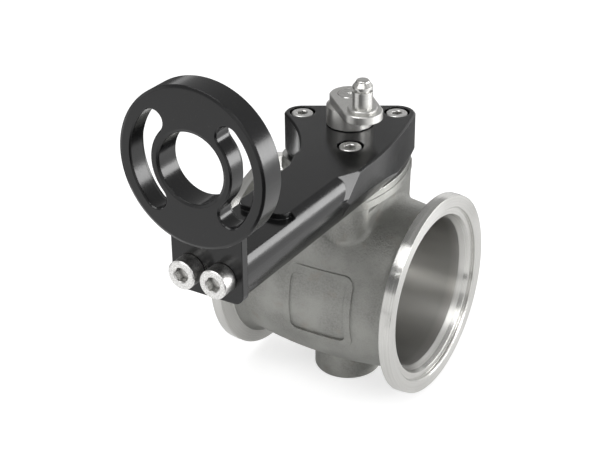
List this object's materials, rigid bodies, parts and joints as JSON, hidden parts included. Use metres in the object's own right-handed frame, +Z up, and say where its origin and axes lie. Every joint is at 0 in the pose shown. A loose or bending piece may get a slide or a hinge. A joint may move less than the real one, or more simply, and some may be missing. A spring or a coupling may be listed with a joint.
{
  "type": "turbo wastegate",
  "caption": "Butterfly wastegate: cast duct with V-band flanges, crank lever on the shaft, and a black arm with an actuator mounting ring.",
  "frame": {"origin": "Centre of the outlet flange face, on the duct axis.", "axes": "+X runs out of the outlet along the duct, +Z up along the butterfly shaft, and the actuator arm and ring point to -Y."},
  "size_m": [0.066, 0.1312, 0.1379],
  "materials": {
    "cast_steel": "sand-cast stainless steel, bead blasted, with machined flanges and bore",
    "machined_steel": "machined stainless steel, fine turning marks",
    "screw_steel": "stainless socket-head screws",
    "black_anodised": "black anodised, satin to glossy",
    "bronze": "sintered bronze",
    "graphite": "pressed graphite"
  },
  "bodies": {
    "housing": {"valve_body": "cast_steel", "lower_bush": "bronze", "upper_bush": "bronze", "shaft_seal": "graphite", "seal_retainer": "machined_steel", "bracket_bush": "bronze", "thrust_washer": "machined_steel", "actuator_bracket": "black_anodised", "bracket_screw_left": "screw_steel", "bracket_screw_back": "screw_steel", "bracket_screw_front": "screw_steel", "actuator_ring": "black_anodised", "ring_screw_left": "screw_steel", "ring_screw_right": "screw_steel"},
    "valve": {"butterfly_disc": "machined_steel", "valve_shaft": "machined_steel", "disc_screw_upper": "screw_steel", "disc_screw_lower": "screw_steel", "crank_lever": "machined_steel", "lever_set_screw": "screw_steel", "crank_pin": "machined_steel"}
  },
  "joints": [
    {"name": "valve_turn", "type": "hinge", "parent": "housing", "child": "valve", "pos_m": [-0.033, 0, 0], "axis": [0, 0, 1], "range_deg": [0, 90]}
  ]
}
